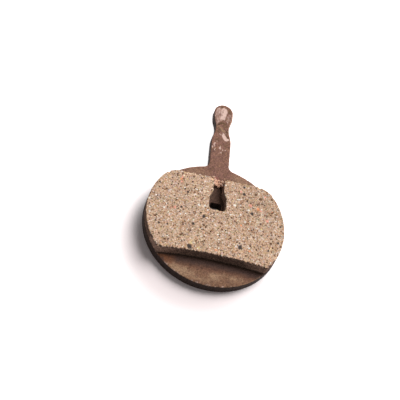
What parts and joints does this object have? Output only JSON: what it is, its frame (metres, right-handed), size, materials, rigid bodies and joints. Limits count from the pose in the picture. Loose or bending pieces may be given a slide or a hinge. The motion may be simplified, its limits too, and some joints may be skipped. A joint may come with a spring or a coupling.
{
  "type": "bicycle disc brake pad",
  "caption": "Round steel backing plate with a waisted stem and knob, faced with a gritty moulded friction lining that has a keyhole slot over a square locating hole.",
  "frame": {"origin": "centre of the round disc, on the back face of the plate", "axes": "+X across the pad, +Y along the stem towards the knob, +Z from the back face to the friction face"},
  "size_m": [0.026, 0.0417, 0.0036],
  "materials": {
    "plate_steel": "stamped steel with a dull mauve-brown oxide skin, dark sheared edges and bare worn patches on the stem",
    "friction_compound": "gritty moulded friction compound, tan binder with dark, pale and red grains, and dark charcoal side walls"
  },
  "bodies": {
    "root": {"backing_plate": "plate_steel", "friction_lining": "friction_compound"}
  },
  "joints": []
}
